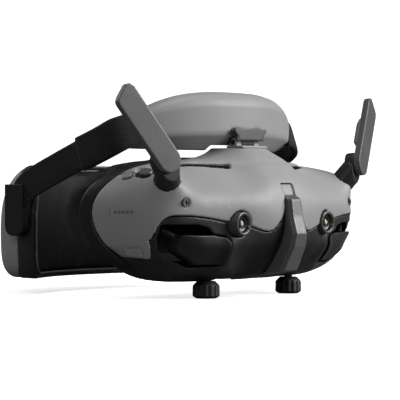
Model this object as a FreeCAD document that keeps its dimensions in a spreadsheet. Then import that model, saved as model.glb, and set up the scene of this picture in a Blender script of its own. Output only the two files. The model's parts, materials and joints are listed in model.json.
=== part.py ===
"""First-person-view goggles with a hinged forehead pad, a headband and a rear battery pack.

Frame: millimetres, X to the wearer's left, +Y towards the back of the head, +Z up.
The origin is the centre of the footprint on the plane that the two focus knobs stand on.
"""
import FreeCAD, Part
import math
import os

V = FreeCAD.Vector
UP = V(0, 0, 1)
ALONG_X = FreeCAD.Rotation(V(0, 1, 0), 90)
ALONG_Y = FreeCAD.Rotation(V(1, 0, 0), -90)
UPRIGHT = FreeCAD.Rotation()
OUT = "parts"

doc = FreeCAD.newDocument("fpv_goggles")

# ---------------------------------------------------------------- driving dimensions
DIMENSIONS = {
    "wall": (2.2, "plastic wall of the front shells"),
    "seam": (0.35, "gap between the upper and lower front shells"),
    "lower_step": (0.6, "how far the lower shell sits below the upper one"),
    "fullness": (3.0, "superellipse exponent of the body in plan"),
    "shell_edge_back": (-23.0, "rearmost point of the grey shell's edge"),
    "shell_edge_height": (42.0, "height of that point"),
    "shell_edge_bow": (0.031, "how fast the edge runs forwards above and below it"),
    "shell_edge_limit": (-38.5, "the edge runs no further forwards than this"),
    "frame_depth": (8.7, "black rear frame from the shell's edge to the foam"),
    "foam_side_back": (-2.0, "rearmost point of the face foam at the temples"),
    "eye_offset": (33.0, "half the distance between the eyepieces"),
    "eye_height": (37.5, "eyepiece axis above the knobs' feet"),
    "tube_radius": (16.6, "eyepiece carriage tube, outside"),
    "cell_radius": (14.0, "sliding lens cell, outside"),
    "lens_radius": (12.2, "eyepiece lens"),
    "lens_curve": (27.0, "radius of the eyepiece lens's faces"),
    "slide_clearance": (0.08, "radial clearance of the moving fits"),
    "rod_radius": (1.5, "guide rod"),
    "rod_length": (124.0, "guide rod"),
    "knob_axis_back": (-50.6, "focus knob axis, front to back"),
    "knob_radius": (6.75, "focus knob at its widest"),
    "knob_foot_radius": (5.0, "flat foot of the focus knob"),
    "knob_neck_height": (8.6, "top of the focus knob"),
    "knob_shaft_radius": (2.0, "focus knob shaft"),
    "knob_shaft_top": (19.2, "end of the focus knob shaft"),
    "pinion_radius": (3.0, "focus drive roller"),
    "camera_offset": (34.0, "half the distance between the front cameras"),
    "camera_height": (36.7, "front camera axis"),
    "camera_face": (-75.6, "front rim of the camera bezel"),
    "camera_rim_radius": (4.7, "front rim of the camera bezel"),
    "camera_base_radius": (6.3, "camera bezel where it meets the shell"),
    "camera_lens_radius": (4.0, "camera cover lens"),
    "screw_offset": (65.6, "half the distance between the front screws"),
    "screw_height": (47.0, "front screw axis"),
    "screw_head_radius": (2.1, "front screw head"),
    "antenna_thickness": (3.6, "antenna blade"),
    "antenna_half_width": (6.2, "antenna blade"),
    "antenna_length": (41.5, "hinge axis to the tip of the antenna blade"),
    "collar_radius": (6.2, "antenna collar"),
    "hinge_height": (77.0, "forehead pad hinge axis"),
    "hinge_back": (-48.0, "forehead pad hinge axis, front to back"),
    "pad_radius": (102.0, "front face of the forehead pad in plan"),
    "pad_front": (-50.0, "front face of the forehead pad at the middle"),
    "pad_droop": (0.48, "share of its height the forehead pad loses towards the temples"),
    "pad_half_angle": (38.5, "half the sweep of the forehead pad shell"),
    "strap_slope": (20.0, "fall of the headband towards the back, degrees"),
    "strap_width": (15.2, "headband"),
    "strap_thickness": (2.2, "headband"),
    "strap_plane": (72.3, "middle of the headband's thickness from the centre plane"),
    "pack_back": (86.0, "rearmost point of the rear pack"),
    "pack_bottom": (8.0, "underside of the rear pack"),
    "pack_top": (66.0, "top of the rear pack"),
    "pack_half_width": (69.0, "rear pack"),
    "pack_fullness": (2.5, "superellipse exponent of the rear pack in plan"),
    "pack_centre": (30.0, "centre of the rear pack's plan curves"),
    "cell_length": (65.0, "battery cell"),
    "cell_diameter": (18.2, "battery cell"),
}

sheet = doc.addObject("Spreadsheet::Sheet", "dims")
for row, (alias, (value, note)) in enumerate(DIMENSIONS.items(), 1):
    sheet.set(f"A{row}", alias.replace("_", " "))
    sheet.set(f"B{row}", str(value))
    sheet.set(f"C{row}", note)
    sheet.setAlias(f"B{row}", alias)
doc.recompute()


def dim(alias):
    """The value of a driving dimension, read from the spreadsheet."""
    return float(sheet.get(alias))


# ---------------------------------------------------------------- document helpers
parts = {}


def bind(item, **sizes):
    """Binds each property of a document object to an expression over the spreadsheet."""
    for name, expression in sizes.items():
        item.setExpression(name, expression)
    return item


def place(item, base, rotation=UPRIGHT):
    item.Placement = FreeCAD.Placement(V(*base), rotation)
    return item


def box(name, length, width, height, base, rotation=UPRIGHT):
    """A block whose sizes are expressions, with its low corner at base."""
    item = doc.addObject("Part::Box", name)
    bind(item, Length=str(length), Width=str(width), Height=str(height))
    return place(item, base, rotation)


def rod(name, radius, height, base, rotation=UPRIGHT):
    """A cylinder whose sizes are expressions, standing on base along the rotated Z axis."""
    item = doc.addObject("Part::Cylinder", name)
    bind(item, Radius=str(radius), Height=str(height))
    return place(item, base, rotation)


def cone(name, radius_low, radius_high, height, base, rotation=UPRIGHT):
    item = doc.addObject("Part::Cone", name)
    bind(item, Radius1=str(radius_low), Radius2=str(radius_high), Height=str(height))
    return place(item, base, rotation)


def cut(name, base, *tools):
    item = base
    for count, tool in enumerate(tools):
        made = doc.addObject("Part::Cut", f"{name}_cut{count}")
        made.Base, made.Tool = item, tool
        item = made
    return item


def fuse(name, *items):
    made = doc.addObject("Part::MultiFuse", f"{name}_fuse")
    made.Shapes = list(items)
    made.Refine = True
    return made


def common(name, base, tool):
    made = doc.addObject("Part::Common", f"{name}_common")
    made.Base, made.Tool = base, tool
    return made


def group(name, *items):
    made = doc.addObject("Part::Compound", f"{name}_group")
    made.Links = list(items)
    return made


def mirrored(name, source):
    """The same piece on the other side of the centre plane."""
    made = doc.addObject("Part::Mirroring", f"{name}_mirror")
    made.Source, made.Normal = source, V(1, 0, 0)
    return made


def freeform(name, shape):
    """A free-form piece whose shape comes from Part's own functions."""
    made = doc.addObject("Part::Feature", name)
    made.Shape = shape
    return made


def node(label, item):
    """Marks a finished piece: its label names its file."""
    item.Label = label
    parts[label] = item
    return item


def both_sides(label, item):
    """A piece on the wearer's left (+X) and its mirror image on the wearer's right."""
    node(f"{label}_left", item)
    node(f"{label}_right", mirrored(label, item))


def attached_sketch(body, role, name):
    """A sketch on one of the body's own origin planes."""
    plane = next(f for f in body.Origin.OriginFeatures if f.Role == role)
    sketch = body.newObject("Sketcher::SketchObject", name)
    sketch.AttachmentSupport = [(plane, "")]
    sketch.MapMode = "FlatFace"
    return sketch


def polygon(sketch, points):
    """Closed straight-sided outline in a sketch."""
    for start, end in zip(points, points[1:] + points[:1]):
        sketch.addGeometry(Part.LineSegment(V(*start, 0), V(*end, 0)), False)


# ---------------------------------------------------------------- free-form helpers
def superellipse(half_x, half_y, exponent, angle):
    """A point of a superellipse at a given parameter angle, in degrees."""
    s, c = math.sin(math.radians(angle)), math.cos(math.radians(angle))
    power = 2.0 / exponent
    return (
        math.copysign(abs(s) ** power, s) * half_x,
        math.copysign(abs(c) ** power, c) * half_y,
    )


def spline(points, closed=False):
    curve = Part.BSplineCurve()
    curve.interpolate(Points=[V(*p) for p in points], PeriodicFlag=closed)
    return curve.toShape()


def bell(value, centre, width):
    return math.exp(-(((value - centre) / width) ** 2))


def ramp(value, low, high):
    """0 below low, 1 above high, smooth between them."""
    share = min(1.0, max(0.0, (value - low) / (high - low)))
    return share * share * (3 - 2 * share)


# Height, half-width and front of the goggles' body, from the underside to the hump.
BODY_STATIONS = [
    (8.5, 56.0, -59.0),
    (10.2, 66.0, -64.5),
    (14.0, 74.0, -69.5),
    (21.0, 80.5, -74.0),
    (31.0, 84.5, -77.6),
    (42.0, 85.5, -78.5),
    (50.0, 84.5, -77.5),
    (56.0, 81.5, -75.0),
    (60.0, 78.0, -72.0),
    (63.4, 72.0, -69.0),
    (66.0, 60.0, -66.5),
    (67.9, 42.0, -64.5),
    (69.8, 28.0, -62.5),
    (71.8, 20.5, -60.0),
    (74.0, 16.5, -57.0),
]


def body_relief(across, height):
    """How far the front face steps back from the plain body at a point, in mm."""
    side = abs(across)
    cheek = 4.5 * bell(side, 45, 22)
    valley = 6.5 * ramp(side, 10, 30) * (1 - ramp(side, 54, 70)) * ramp(height, 48, 64)
    shoulder = -7.0 * bell(side, 73, 9) * bell(height, 59, 7)
    scoop = 5.4 * bell(side, 20, 9) * bell(height, 17, 10)
    rib = -2.5 * bell(side, 38, 4) * bell(height, 21, 9)
    return cheek + valley + shoulder + scoop + rib


def body_slice(station, inset):
    """The body's D-shaped outline at one height, as a closed wire."""
    height, half_width, front = station
    half_width -= inset
    back = -20.0 + inset
    depth = back - front - inset
    points = []
    for step in range(-24, 25):
        x, y = superellipse(half_width, depth, dim("fullness"), step * 90 / 24)
        fade = 1 - (abs(step) / 24) ** 6
        points.append((x, back - y + fade * body_relief(x, height), height))
    front_edge = spline(points)
    back_edge = Part.LineSegment(V(*points[-1]), V(*points[0])).toShape()
    return Part.Wire([front_edge, back_edge])


def body_solid(inset=0.0):
    """The goggles' body without its openings, shrunk all round by inset."""
    low, high = BODY_STATIONS[0][0], BODY_STATIONS[-1][0]
    squeeze = (high - low - 2 * inset) / (high - low)
    wires = []
    for station in BODY_STATIONS:
        height = low + inset + (station[0] - low) * squeeze
        wires.append(body_slice((height,) + station[1:], inset))
    return Part.makeLoft(wires, True, False)


def behind(curve_back, low=-30.0, high=130.0, reach=220.0):
    """Everything behind a curve y(z) that is drawn across the whole width."""
    heights = [low + (high - low) * i / 40 for i in range(41)]
    edge = spline([(-reach, curve_back(z), z) for z in heights])
    ends = edge.Vertexes[0].Point, edge.Vertexes[-1].Point
    far = 300.0
    corners = [ends[1], V(-reach, far, high), V(-reach, far, low), ends[0]]
    lines = [Part.LineSegment(a, b).toShape() for a, b in zip(corners, corners[1:])]
    return Part.Face(Part.Wire([edge] + lines)).extrude(V(2 * reach, 0, 0))


def shell_edge(height, shift=0.0):
    """Where the grey shell ends and the black frame begins, seen from the side."""
    bow = dim("shell_edge_bow") * (height - dim("shell_edge_height")) ** 2
    plain = dim("shell_edge_back") - bow
    limit = dim("shell_edge_limit")
    blend = 3.0
    rounded = limit + blend * math.log1p(math.exp(min(60.0, (plain - limit) / blend)))
    return rounded + shift


def ring_section(y, half_width, low, high, exponent):
    """A closed superellipse across the body at one station along Y."""
    middle, half_height = (low + high) / 2, (high - low) / 2
    points = []
    for step in range(48):
        x, z = superellipse(half_width, half_height, exponent, step * 7.5)
        points.append((x, y, middle + z))
    return Part.Wire([spline(points, closed=True)])


# Station, half-width, underside and top of the black frame and the face foam.
MASK_STATIONS = [
    (-46.0, 81.0, 8.6, 67.0),
    (-34.0, 83.5, 7.4, 69.2),
    (-22.0, 85.4, 6.4, 70.0),
    (-12.0, 86.0, 6.2, 70.2),
    (-2.0, 85.8, 6.4, 70.0),
    (6.0, 85.0, 7.0, 69.4),
]


def mask_solid(inset=0.0):
    sections = [
        ring_section(y, w - inset, low + inset, high - inset, 3.6)
        for y, w, low, high in MASK_STATIONS
    ]
    return Part.makeLoft(sections, True, False)


def parting_region(grow=0.0):
    """Front view of the lower shell: everything below the line where the shells meet."""
    crown = [(4.6, 56), (5.6, 42), (9.0, 36.6), (14.5, 32.8), (20.0, 33.2), (27.0, 35.2),
             (40.0, 37.4), (54.0, 39.6), (69.0, 40.6)]
    crown = [(x + grow * (x < 10), z + grow) for x, z in crown]
    cheek = [(76.0 + grow, 35.6 + grow), (77.3 + grow, 29.0), (73.6 + grow, 19.6 + grow)]
    lower = [(78.4, 20.8 + grow), (82.6, 25.4 + grow), (100.0, 44.0 + grow), (100.0, -20.0)]
    wire = []
    for sign in (1, -1):
        crown_points = [V(sign * x, 0, z) for x, z in crown]
        curve = Part.BSplineCurve()
        curve.interpolate(crown_points)
        corner = [V(sign * x, 0, z) for x, z in cheek]
        arc = Part.Arc(crown_points[-1], V(sign * (74.0 + grow), 0, 39.0 + grow), corner[0])
        wire += [curve.toShape(), arc.toShape()]
        run = corner + [V(sign * x, 0, z) for x, z in lower]
        wire += [Part.LineSegment(a, b).toShape() for a, b in zip(run, run[1:])]
    wire.append(Part.LineSegment(V(-100, 0, -20), V(100, 0, -20)).toShape())
    top = crown[0]
    wire.append(Part.LineSegment(V(-top[0], 0, top[1]), V(top[0], 0, top[1])).toShape())
    face = Part.Face(Part.Wire(Part.__sortEdges__(wire)))
    face.translate(V(0, -150, 0))
    return face.extrude(V(0, 300, 0))


def slab(x_low, x_high, y_low, y_high, z_low, z_high):
    size = (x_high - x_low, y_high - y_low, z_high - z_low)
    return Part.makeBox(*size, V(x_low, y_low, z_low))


def front_prism(points, y_low, y_high, radius=0.0):
    """A front-view outline drawn as (x, z) points and carried along Y, its corners rounded."""
    outline = Part.makePolygon([V(x, y_low, z) for x, z in points + points[:1]])
    prism = Part.Face(outline).extrude(V(0, y_high - y_low, 0))
    if radius:
        prism = prism.makeFillet(radius, [e for e in prism.Edges if abs(e.tangentAt(0).y) > 0.9])
    return prism


def rounded_prism(x_low, x_high, z_low, z_high, radius, y_low, y_high):
    """A block along Y with its four long edges rounded."""
    block = slab(x_low, x_high, y_low, y_high, z_low, z_high)
    long_edges = [e for e in block.Edges if abs(e.tangentAt(0).y) > 0.9]
    return block.makeFillet(radius, long_edges)


def largest(shape):
    """The biggest solid of a shape, without the slivers a cut can leave beside it."""
    return max(shape.Solids, key=lambda solid: solid.Volume)


def flip(shape):
    """The mirror image across the centre plane."""
    return shape.mirror(V(0, 0, 0), V(1, 0, 0))


def pair(shape):
    return [shape, flip(shape)]


# ---------------------------------------------------------------- goggles: shells and face
def camera_bores():
    """The round openings of the two front cameras."""
    bore = Part.makeCylinder(dim("camera_base_radius") + 0.1, 30, V(0, -90, 0), V(0, 1, 0))
    bore.translate(V(dim("camera_offset"), 0, dim("camera_height")))
    return pair(bore)


def screw_bores():
    """Counterbored holes of the two front screws."""
    x, z, radius = dim("screw_offset"), dim("screw_height"), dim("screw_head_radius")
    head = Part.makeCylinder(radius + 0.1, 12, V(x, -76.2, z), V(0, 1, 0))
    shank = Part.makeCylinder(1.3, 20, V(x, -70, z), V(0, 1, 0))
    return pair(head.fuse(shank))


def antenna_axes():
    """Foot of the antenna blade, its hinge axis, its length axis and its width axis."""
    foot = V(77.4, -64.6, 67.0)
    normal = V(0.276, -0.957, 0.087).normalize()
    length = V(0.535, 0.299, 0.791)
    length = (length - normal * length.dot(normal)).normalize()
    return foot, normal, length, length.cross(normal)


def antenna_collar():
    """The round collar that carries the antenna, rooted in the shoulder of the shell."""
    base, axis = V(72.5, -59.5, 60.4), V(0.506, -0.425, 0.749).normalize()
    collar = Part.makeCylinder(dim("collar_radius"), 11.5, base - axis * 6.5, axis)
    foot, normal, length, width = antenna_axes()
    ear = Part.makeCylinder(dim("collar_radius"), 5.0, foot - normal * 6.9, normal)
    front = Part.makeCylinder(30, 20, foot - normal * 1.9, normal)
    bore = Part.makeCylinder(1.8, 12, foot - normal * 5.0, normal)
    return collar.fuse(ear).cut(front).cut(bore).removeSplitter()


def deck_frame(x, y):
    """A placement on the top deck of the front shell, its Z axis along the surface normal."""
    body = body_solid()

    def top(px, py):
        line = Part.makeLine(V(px, py, 45), V(px, py, 90))
        return max((v.Point for v in line.common(body).Vertexes), key=lambda point: point.z)

    here, ahead, beside = top(x, y), top(x, y - 1.5), top(x + 1.5, y)
    normal = (beside - here).cross(here - ahead).normalize()
    turn = FreeCAD.Rotation(V(1, 0, 0), V(0, 1, 0), normal, "ZXY")
    return FreeCAD.Placement(here, turn)


STICK = deck_frame(-72.5, -46.0)
BACK_KEY = deck_frame(-77.0, -38.0)
VENT = deck_frame(38.0, -53.0)
VENT.Rotation = VENT.Rotation.multiply(FreeCAD.Rotation(UP, 22))


def placed(shape, placement):
    shape = shape.copy()
    shape.Placement = placement.multiply(shape.Placement)
    return shape


INTAKE = [(75.2, 30.0), (75.0, 36.6), (58.0, 36.4), (51.5, 34.8), (48.8, 31.9), (41.5, 30.8),
          (38.9, 28.0), (38.6, 16.2), (56.0, 15.8), (68.8, 20.2), (73.2, 24.6)]
PADDLE = [(67.5, 31.6), (49.0, 31.2), (42.0, 30.1), (39.7, 27.4), (39.3, 17.0), (54.0, 17.2),
          (66.0, 23.2), (67.5, 26.0)]


def make_front_shells():
    hollow = body_solid(dim("wall"))
    back = behind(shell_edge)
    upper = body_solid().cut(hollow).cut(back).cut(parting_region(dim("seam")))
    lower = body_solid(dim("lower_step")).cut(hollow).cut(back).common(parting_region())
    stick_bore = placed(Part.makeCylinder(5.3, 12, V(0, 0, -6)), STICK)
    key_bore = placed(Part.makeCylinder(2.5, 12, V(0, 0, -6)), BACK_KEY)
    vents = pair(placed(slab(-14.6, 14.6, -1.6, 1.6, -8, 8), VENT))
    collar_axis = V(0.506, -0.425, 0.749).normalize()
    collar = Part.makeCylinder(
        dim("collar_radius") + 0.05, 30, V(72.5, -59.5, 60.4) - collar_axis * 8, collar_axis
    )
    upper = upper.cut(camera_bores() + screw_bores() + [stick_bore, key_bore] + vents)
    upper = upper.cut(pair(collar))
    intake = front_prism(INTAKE, -90, -46, 1.0)
    knob_slot = slab(25.6, 38.4, -53.0, -48.2, 0, 14)
    nose = nose_core(0.0)
    lower = lower.cut(camera_bores() + pair(intake) + pair(knob_slot) + [nose])
    node("front_shell", freeform("front_shell", largest(upper)))
    node("lower_shell", freeform("lower_shell", largest(lower)))


def nose_core(grow):
    """The room for the nose between the eyepieces, open towards the face and the floor."""
    return Part.makeCone(10 + grow, 16 + grow, 52, V(0, -38, 6), V(0, 1, 0))


def foam_back(height):
    """Rear edge of the face foam seen from the side."""
    return dim("foam_side_back") - 0.031 * (height - 43.0) ** 2


def face_core():
    """An upright elliptic column in the place of the wearer's face."""
    points = []
    for step in range(36):
        angle = math.radians(step * 10)
        points.append((116 * math.sin(angle), 40 - 58 * math.cos(angle), -20))
    return Part.Face(Part.Wire([spline(points, closed=True)])).extrude(V(0, 0, 140))


def rod_seats():
    """Height and depth of the two guide rods that the eyepieces slide on."""
    return ((-36.0, 57.5), (-42.0, 16.8))


def make_rear_frame():
    depth = dim("frame_depth")
    ring = mask_solid().common(behind(lambda z: shell_edge(z, 0.3)))
    ring = ring.cut(behind(lambda z: shell_edge(z, depth)))
    window = mask_solid(3.0)
    plate = mask_solid(2.0).common(slab(-90, 90, -24.5, -22.5, 0, 80))
    openings = []
    for side in (-1, 1):
        x = side * (dim("eye_offset") - 1)
        z, radius = dim("eye_height"), dim("tube_radius") + 1.2
        openings.append(rounded_prism(x - radius - 4, x + radius + 4, z - radius, z + radius,
                                      radius - 0.1, -30, -20))
    frame = ring.cut(window).fuse(plate.cut(openings))
    inner = body_solid(dim("wall") + 0.15)
    for y, z in rod_seats():
        lug = slab(58, 64, y - 3.5, -22.6, z - 3.2, z + 3.2).common(inner)
        frame = frame.fuse(pair(lug))
    bores = []
    for y, z in rod_seats():
        length = dim("rod_length")
        bores.append(Part.makeCylinder(dim("rod_radius"), length, V(-length / 2, y, z), V(1, 0, 0)))
    bridge = nose_core(2.4).common(mask_solid(0.5)).common(slab(-30, 30, -40, -22.5, 4, 80))
    frame = frame.fuse(bridge).cut(nose_core(0.0)).cut(bores)
    frame = frame.cut(behind(lambda z: shell_edge(z, depth)))
    frame = frame.cut([parts["front_shell"].Shape, parts["lower_shell"].Shape])
    node("rear_frame", freeform("rear_frame", largest(frame)))


def make_face_foam():
    depth = dim("frame_depth") + 0.1
    ring = mask_solid(0.6).common(behind(lambda z: shell_edge(z, depth)))
    ring = ring.cut(behind(foam_back)).cut(face_core()).cut(mask_solid(9.5))
    ring = ring.cut(nose_core(0.6)).cut(slab(-11, 11, -60, 20, -5, 30))
    node("face_foam", freeform("face_foam", largest(ring)))


def make_centre_fin():
    """Bevelled fin down the middle of the front, wider towards the floor."""
    profile = [(-78.0, 50.4), (-81.0, 48.6), (-82.2, 40.0), (-84.6, 31.5), (-83.2, 25.0),
               (-77.4, 13.2), (-66.0, 11.0), (-66.0, 50.4)]

    def layer(half, inward):
        """The fin's side view, moved back by inward and carried out to half on each side."""
        points = [V(-half, y + inward, z) for y, z in profile]
        return Part.Face(Part.makePolygon(points + points[:1])).extrude(V(2 * half, 0, 0))

    front = front_prism([(-4.9, 54), (-5.2, 32), (-7.0, 10), (7.0, 10), (5.2, 32), (4.9, 54)],
                        -90, -60)
    middle = front_prism([(-3.9, 54), (-4.2, 32), (-5.8, 10), (5.8, 10), (4.2, 32), (3.9, 54)],
                         -90, -60)
    blank = layer(9, 1.4).common(front).fuse(layer(9, 0).common(middle))
    seat = body_solid(dim("lower_step")).fuse(body_solid().cut(parting_region(dim("seam"))))
    node("centre_fin", freeform("centre_fin", largest(blank.cut(seat))))


def make_intake_paddle():
    """Deflector that fills most of the air intake, flush with the shell, and its arm."""
    skin = body_solid(-0.4).cut(body_solid(3.2))
    plate = skin.common(front_prism(PADDLE, -90, -40, 1.2))
    arm = Part.makeCylinder(1.3, 12, V(63.0, -61.0, 28.6), V(0.72, 0.5, 0.48))
    shells = body_solid().cut(body_solid(dim("wall") - 0.05)).cut(front_prism(INTAKE, -90, -40, 1.0))
    plate = plate.fuse(arm).cut(shells).cut(body_solid(-3).cut(body_solid(-0.4)))
    both_sides("intake_paddle", freeform("intake_paddle", largest(plate)))


def make_vent_grille():
    """Louvred grille under the slit in the top deck."""
    plate = slab(-14.5, 14.5, -1.5, 1.5, -3.4, -0.9)
    holes = [slab(-13.9 + 1.6 * i, -12.8 + 1.6 * i, -1.1, 1.1, -4, 2) for i in range(18)]
    grille = placed(plate.cut(holes), VENT)
    both_sides("vent_grille", freeform("vent_grille", grille.common(body_solid(0.5))))


# ---------------------------------------------------------------- goggles: cameras, screws, ports
def make_cameras():
    """Bezel ring, cover lens and camera module behind each front opening."""
    x, z, face = dim("camera_offset"), dim("camera_height"), dim("camera_face")
    ring = cone("bezel_body", "dims.camera_base_radius", "dims.camera_rim_radius + 0.9", 6.4,
                (x, face + 6.4, z), FreeCAD.Rotation(V(1, 0, 0), 90))
    seat = rod("bezel_seat", "dims.camera_lens_radius + 0.05", 1.8, (x, face - 0.1, z), ALONG_Y)
    flare = cone("bezel_flare", "dims.camera_rim_radius", "dims.camera_lens_radius - 0.6", 2.6,
                 (x, face - 0.4, z), ALONG_Y)
    bore = rod("bezel_bore", 3.4, 12, (x, face - 1, z), ALONG_Y)
    both_sides("camera_bezel", cut("camera_bezel", ring, seat, flare, bore))
    lens = rod("cover_lens", "dims.camera_lens_radius", 1.2, (x, face + 0.5, z), ALONG_Y)
    both_sides("camera_lens", lens)
    barrel = rod("camera_barrel", 3.2, 3.2, (x, face + 3.3, z), ALONG_Y)
    base = box("camera_base", 10, 3, 10, (x - 5, face + 6.45, z - 5))
    module = fuse("camera_module", barrel, base)
    node("camera_modules", group("camera_modules", module, mirrored("camera_module", module)))


def make_screws():
    """Two pan-head screws with a cross recess, driven into the front shell."""
    x, z = dim("screw_offset"), dim("screw_height")
    turn = FreeCAD.Rotation(V(1, 0, 0), -90)
    head = rod("screw_head", "dims.screw_head_radius", 1.4, (x, -65.6, z), turn)
    slot_a = box("screw_slot_a", 2.4, 0.8, 0.7, (x - 1.2, -65.7, z - 0.35))
    slot_b = box("screw_slot_b", 0.7, 0.8, 2.4, (x - 0.35, -65.7, z - 1.2))
    shank = rod("screw_shank", 1.2, 8, (x, -64.3, z), turn)
    screw = fuse("front_screw", cut("screw_head", head, slot_a, slot_b), shank)
    node("front_screws", group("front_screws", screw, mirrored("front_screw", screw)))


def make_antennas():
    """Fixed collar, hinge pin and folding blade on each side."""
    both_sides("antenna_base", freeform("antenna_base", antenna_collar()))
    foot, normal, length, width = antenna_axes()
    pin = Part.makeCylinder(1.8, 5.6, foot - normal * 4.9, normal)
    both = freeform("antenna_pin", pin)
    node("antenna_pins", group("antenna_pins", both, mirrored("antenna_pin", both)))
    half, long = dim("antenna_half_width"), dim("antenna_length")
    thick = dim("antenna_thickness") / 2
    matrix = FreeCAD.Matrix(width.x, length.x, normal.x, foot.x, width.y, length.y, normal.y,
                            foot.y, width.z, length.z, normal.z, foot.z, 0, 0, 0, 1)
    tip = [(-half, 0), (-half, long - 3.4), (-half + 1.1, long - 0.9), (-half + 3.0, long),
           (half - 2.2, long - 2.6), (half - 0.5, long - 3.9), (half, long - 5.8), (half, 0)]
    outline = Part.makePolygon([V(x, y, -thick) for x, y in tip + tip[:1]])
    flat = Part.Face(outline).extrude(V(0, 0, 2 * thick))
    flat = flat.fuse(Part.makeCylinder(half, 2 * thick, V(0, 0, -thick)))
    swell = rounded_hump(half - 0.9, 10.5, 27.0, -thick - 2.9, 0)
    blade = flat.fuse(swell)
    blade = blade.cut(Part.makeCylinder(1.8 + dim("slide_clearance"), 2.75, V(0, 0, -thick - 0.1)))
    blade = blade.cut(Part.makeCylinder(2.4, 0.5, V(0, 0, thick - 0.3)))
    blade = blade.removeSplitter().transformGeometry(matrix)
    both_sides("antenna_blade", freeform("antenna_blade", blade))


def rounded_hump(half_width, low, high, z_low, z_high):
    """The thicker back of the antenna blade, a block with softened ends."""
    block = slab(-half_width, half_width, low, high, z_low, z_high)
    rear = [e for e in block.Edges if e.CenterOfMass.z < z_low + 0.01]
    return block.makeChamfer(2.0, rear)


def make_ports():
    """Socket cover low on the wearer's right, and the sensor that feels the face."""
    skin = body_solid(-0.9).cut(body_solid())
    cover = skin.common(slab(-86, -72.5, -48.5, -41.5, 21.4, 25.2))
    node("port_cover", freeform("port_cover", largest(cover)))
    body = box("wear_sensor_body", 10, 2.6, 5, (-5, -22.4, 54.4))
    eye = rod("wear_sensor_eye", 1.2, 1.0, (0, -20.4, 57), ALONG_Y)
    node("wear_sensor", cut("wear_sensor", body, eye))


def make_electronics():
    """Main board, heat sink and fan behind the front shell."""
    board = box("board_blank", 88, 1.6, 20, (-44, -64.6, 26))
    holes = [rod(f"board_hole_{i}", 1.3, 4, (x, -66, z), ALONG_Y)
             for i, (x, z) in enumerate([(-41, 43), (41, 43), (-41, 29), (41, 29)])]
    chip = box("board_chip", 14, 1.4, 14, (-7, -66.0, 30))
    node("main_board", fuse("main_board", cut("main_board", board, *holes), chip))
    base = box("sink_base", 18, 1.6, 20, (-9, -67.62, 27))
    fins = [box(f"sink_fin_{i}", 0.8, 4.2, 20, (-8.8 + 2.8 * i, -71.8, 27)) for i in range(7)]
    node("heat_sink", fuse("heat_sink", base, *fins))
    x, y, z = 60.6, -56.8, 31.0
    shell = box("fan_block", 14, 4.6, 14, (x - 7, y, z - 7))
    well = rod("fan_well", 6.5, 3.8, (x, y - 0.1, z), ALONG_Y)
    post = rod("fan_post", 1.0, 3.2, (x, y + 0.6, z), ALONG_Y)
    relief = box("fan_relief", 6, 2.7, 5.6, (x + 2.2, y - 0.2, z - 7.4))
    notch = box("fan_notch", 2, 1.0, 10, (x + 6.0, y - 0.2, z - 2.0))
    open_block = cut("fan_housing", shell, well, relief, notch)
    node("fan_housing", fuse("fan_housing", open_block, post))
    hub = rod("fan_hub", 2.6, 2.8, (x, y + 0.4, z), ALONG_Y)
    ring = rod("fan_ring", 6.2, 2.8, (x, y + 0.4, z), ALONG_Y)
    ring_bore = rod("fan_ring_bore", 5.7, 4, (x, y - 0.2, z), ALONG_Y)
    blades = []
    for i in range(9):
        turn = FreeCAD.Rotation(V(0, 1, 0), 40 * i)
        offset = turn.multVec(V(-0.3, 0, 2.2))
        spot = V(x, y + 0.6, z) + offset
        blades.append(box(f"fan_blade_{i}", 0.6, 2.4, 3.8, spot, turn))
    spindle = rod("fan_bore", "1.0 + dims.slide_clearance", 5, (x, y - 0.2, z), ALONG_Y)
    wheel = fuse("fan_rotor", hub, cut("fan_ring", ring, ring_bore), *blades)
    node("fan_rotor", cut("fan_rotor", wheel, spindle))


# ---------------------------------------------------------------- goggles: eyepieces
def make_guide_rods():
    rods = [rod(f"guide_rod_{i}", "dims.rod_radius", "dims.rod_length",
                (-dim("rod_length") / 2, y, z), ALONG_X)
            for i, (y, z) in enumerate(rod_seats())]
    node("guide_rods", group("guide_rods", *rods))


def make_carriages():
    """Tube that slides sideways on the guide rods and carries one eyepiece."""
    x, z = dim("eye_offset"), dim("eye_height")
    tube = rod("tube_outer", "dims.tube_radius", 34.5, (x, -58.5, z), ALONG_Y)
    bore = rod("tube_bore", "dims.cell_radius + dims.slide_clearance", 36, (x, -59, z), ALONG_Y)
    (top_y, top_z), (low_y, low_z) = rod_seats()
    ears = [box("tube_ear_top", 12, 8, top_z + 3 - z - 15.2, (x - 6, top_y - 4, z + 15.2)),
            box("tube_ear_low", 8.4, 8, z - 15.2 - low_z + 3, (x - 6, low_y - 4, low_z - 3))]
    yoke = box("yoke_plate", 15, 10.2, 2.7, (x - 7.5, -53.8, 12.9))
    webs = [box(f"yoke_web_{i}", 1.8, 10.2, 10.9, (x + shift, -53.8, 12.9))
            for i, shift in enumerate((-7.5, 5.7))]
    rod_bores = [rod(f"ear_bore_{i}", "dims.rod_radius + dims.slide_clearance", 20,
                     (x - 10, y, seat_z), ALONG_X)
                 for i, (y, seat_z) in enumerate(rod_seats())]
    shaft_bore = rod("yoke_bore", "dims.knob_shaft_radius + dims.slide_clearance", 10,
                     (x, dim("knob_axis_back"), 10))
    slot = box("tube_slot", 2.6, 17, 6, (x + 2.5, -59.0, 20.0))
    blank = fuse("carriage", tube, yoke, *webs, *ears)
    both_sides("eye_carriage", cut("carriage", blank, bore, shaft_bore, slot, *rod_bores))


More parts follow.
